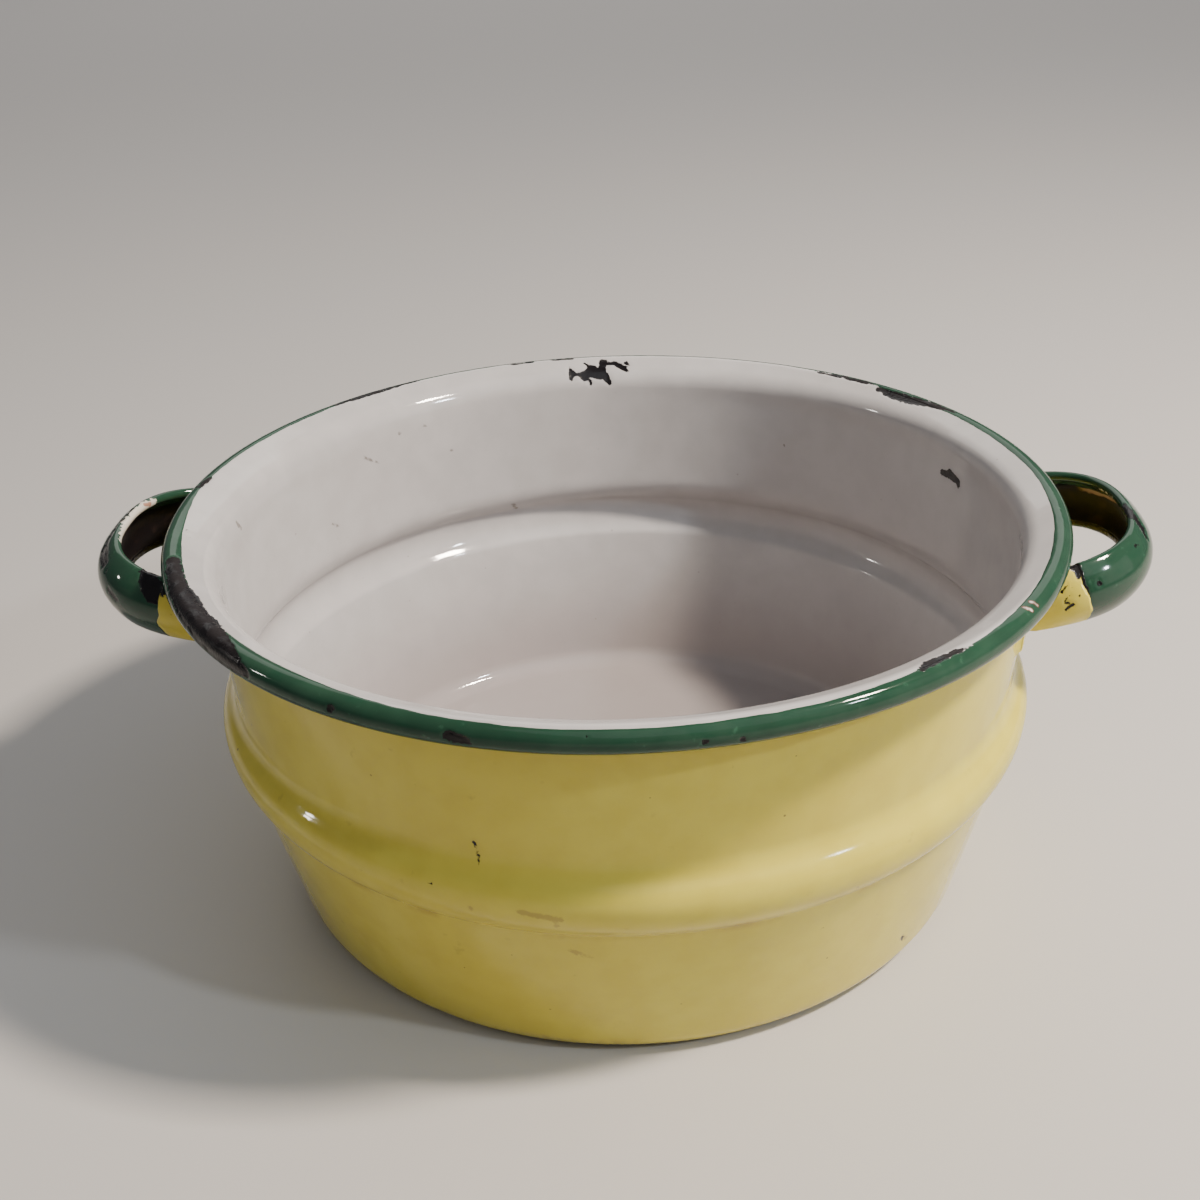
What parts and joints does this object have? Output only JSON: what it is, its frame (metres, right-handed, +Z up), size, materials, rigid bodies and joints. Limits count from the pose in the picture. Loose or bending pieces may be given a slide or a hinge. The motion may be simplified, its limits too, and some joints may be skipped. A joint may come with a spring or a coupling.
{
  "type": "enamelled pan",
  "caption": "Round enamelled steel pan with a tapered base, rounded belly, flared rolled rim and a strap loop handle on each side, white inside and coloured outside.",
  "frame": {"origin": "centre of the underside of the base, on the surface the pan stands on", "axes": "+Z up, X through both handles, Y across them; the pan is viewed from -Y"},
  "size_m": [0.238, 0.2, 0.0906],
  "materials": {
    "ground_coated_steel": "satin black ground coat",
    "white_enamel": "gloss",
    "yellow_enamel": "gloss",
    "green_enamel": "gloss"
  },
  "bodies": {
    "root": {"pan_body": "ground_coated_steel", "white_lining": "white_enamel", "yellow_outer_coat": "yellow_enamel", "green_rim_coat": "green_enamel", "right_handle_strap": "ground_coated_steel", "right_grip_coat": "green_enamel", "right_front_foot_coat": "yellow_enamel", "right_front_weld": "ground_coated_steel", "right_rear_foot_coat": "yellow_enamel", "right_rear_weld": "ground_coated_steel", "left_handle_strap": "ground_coated_steel", "left_grip_coat": "green_enamel", "left_front_foot_coat": "yellow_enamel", "left_front_weld": "ground_coated_steel", "left_rear_foot_coat": "yellow_enamel", "left_rear_weld": "ground_coated_steel"}
  },
  "joints": []
}
